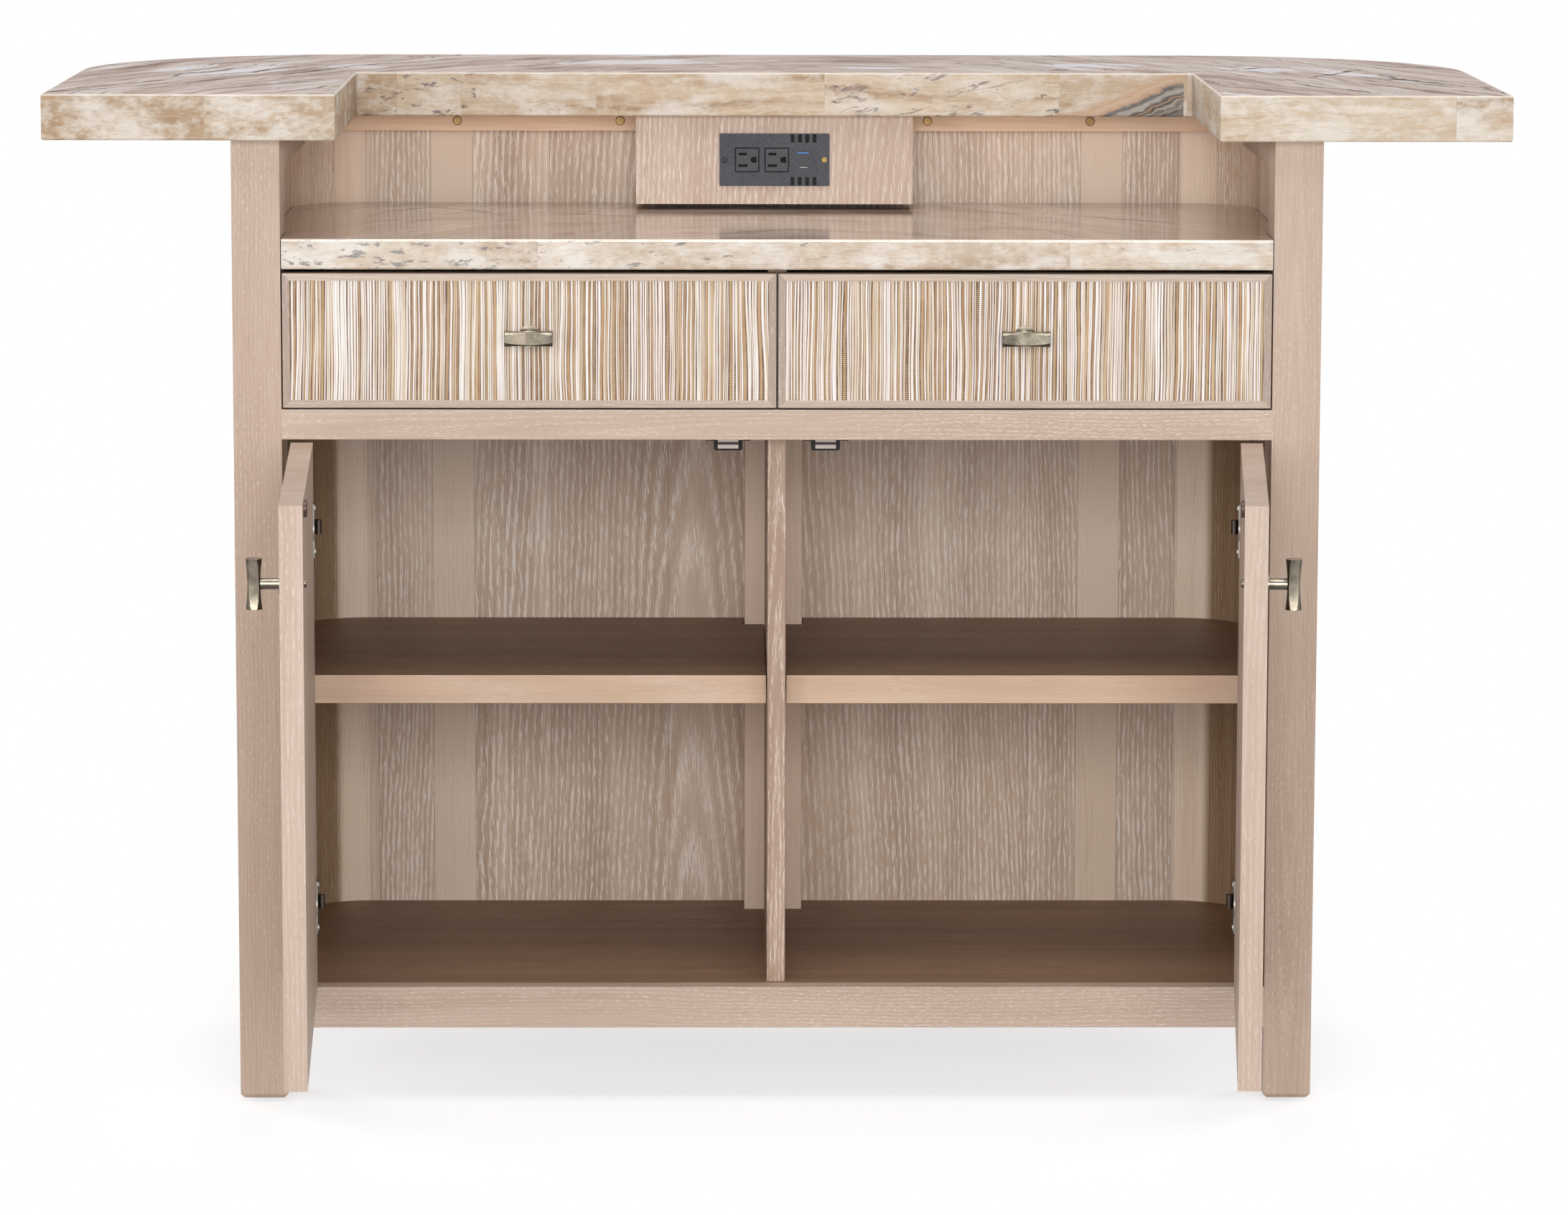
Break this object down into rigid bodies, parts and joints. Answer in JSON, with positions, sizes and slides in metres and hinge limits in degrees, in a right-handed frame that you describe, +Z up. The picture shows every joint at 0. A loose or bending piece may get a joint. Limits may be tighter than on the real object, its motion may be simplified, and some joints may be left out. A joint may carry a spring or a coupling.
{
  "type": "home bar cabinet",
  "caption": "Free-standing home bar: U-shaped stone bar top over a rounded oak cabinet with a stone worktop, drawers, hinged doors, shelves and a hanging power outlet box.",
  "frame": {"origin": "on the floor, under the middle of the box round the whole part with its doors open as stored", "axes": "+X to the right as the bartender sees it, +Y towards the guests, +Z up"},
  "size_m": [1.524, 1.219, 1.071],
  "materials": {
    "stone": "polished, veined",
    "limed_oak": "limed open-grain oak, satin",
    "oak_veneer": "vertical-grain veneer planks, satin",
    "drawer_wood": "clear satin",
    "grasscloth": "woven reed wallcovering",
    "satin_nickel": "satin nickel",
    "hinge_steel": "nickel-plated steel",
    "brass": "brass-plated screws",
    "black_plastic": "moulded",
    "blue_plastic": "moulded",
    "grey_plastic": "nail-on glide"
  },
  "bodies": {
    "cabinet": {"back_ledgers": "limed_oak", "back_lining": "oak_veneer", "bar_top": "stone", "bottom_panel": "oak_veneer", "bottom_rail": "limed_oak", "catch_bodies": "black_plastic", "catch_faces": "hinge_steel", "center_divider": "limed_oak", "clad_base_rails": "limed_oak", "clad_panels": "grasscloth", "clad_stiles": "limed_oak", "clad_top_rails": "limed_oak", "corner_linings": "oak_veneer", "divider_cleats": "limed_oak", "drawer_deck": "oak_veneer", "drawer_partition": "oak_veneer", "drawer_rail": "limed_oak", "glides": "grey_plastic", "hinge_arms": "hinge_steel", "ledger_screws": "brass", "outlet_module": "black_plastic", "outlet_plate": "black_plastic", "plate_screws": "brass", "post_left": "limed_oak", "post_right": "limed_oak", "power_box_front": "limed_oak", "power_box_sides": "oak_veneer", "rear_legs": "limed_oak", "shelf_left": "limed_oak", "shelf_pins": "hinge_steel", "shelf_right": "limed_oak", "side_cleats": "limed_oak", "side_lining_left": "oak_veneer", "side_lining_right": "oak_veneer", "slide_channels": "hinge_steel", "socket_faces": "black_plastic", "usb_ports": "blue_plastic", "worktop": "stone"},
    "door_left": {"door_panel_left": "limed_oak", "door_cloth_left": "grasscloth", "door_pull_left": "satin_nickel", "door_strike_left": "black_plastic", "hinge_cups_left": "hinge_steel"},
    "hinge_link_left": {"hinge_links_left": "hinge_steel"},
    "drawer_left": {"drawer_front_left": "limed_oak", "drawer_cloth_left": "grasscloth", "drawer_box_left": "drawer_wood", "drawer_pull_left": "satin_nickel", "drawer_slides_left": "hinge_steel"},
    "door_right": {"door_panel_right": "limed_oak", "door_cloth_right": "grasscloth", "door_pull_right": "satin_nickel", "door_strike_right": "black_plastic", "hinge_cups_right": "hinge_steel"},
    "hinge_link_right": {"hinge_links_right": "hinge_steel"},
    "drawer_right": {"drawer_front_right": "limed_oak", "drawer_cloth_right": "grasscloth", "drawer_box_right": "drawer_wood", "drawer_pull_right": "satin_nickel", "drawer_slides_right": "hinge_steel"}
  },
  "joints": [
    {"name": "door_left_hinge", "type": "hinge", "parent": "cabinet", "child": "door_left", "pos_m": [-0.5119, -0.09974, 0.4], "axis": [0, 0, 1], "range_deg": [-0.6, 87.4]},
    {"name": "door_right_hinge", "type": "hinge", "parent": "cabinet", "child": "door_right", "pos_m": [0.5119, -0.09974, 0.4], "axis": [0, 0, 1], "range_deg": [-85.7, 2.3]},
    {"name": "hinge_link_left_turn", "type": "hinge", "parent": "cabinet", "child": "hinge_link_left", "pos_m": [-0.5, -0.06794, 0.4], "axis": [0, 0, 1], "range_deg": [-0.5, 57.78]},
    {"name": "hinge_link_right_turn", "type": "hinge", "parent": "cabinet", "child": "hinge_link_right", "pos_m": [0.5, -0.06794, 0.4], "axis": [0, 0, 1], "range_deg": [-56.66, 1.62]},
    {"name": "drawer_left_slide", "type": "slide", "parent": "cabinet", "child": "drawer_left", "axis": [0, -1, 0], "range_m": [0, 0.35]},
    {"name": "drawer_right_slide", "type": "slide", "parent": "cabinet", "child": "drawer_right", "axis": [0, -1, 0], "range_m": [0, 0.35]}
  ],
  "couplings": [
    {"joint": "hinge_link_left_turn", "follows": "door_left_hinge", "ratio": 0.66},
    {"joint": "hinge_link_right_turn", "follows": "door_right_hinge", "ratio": 0.66}
  ]
}
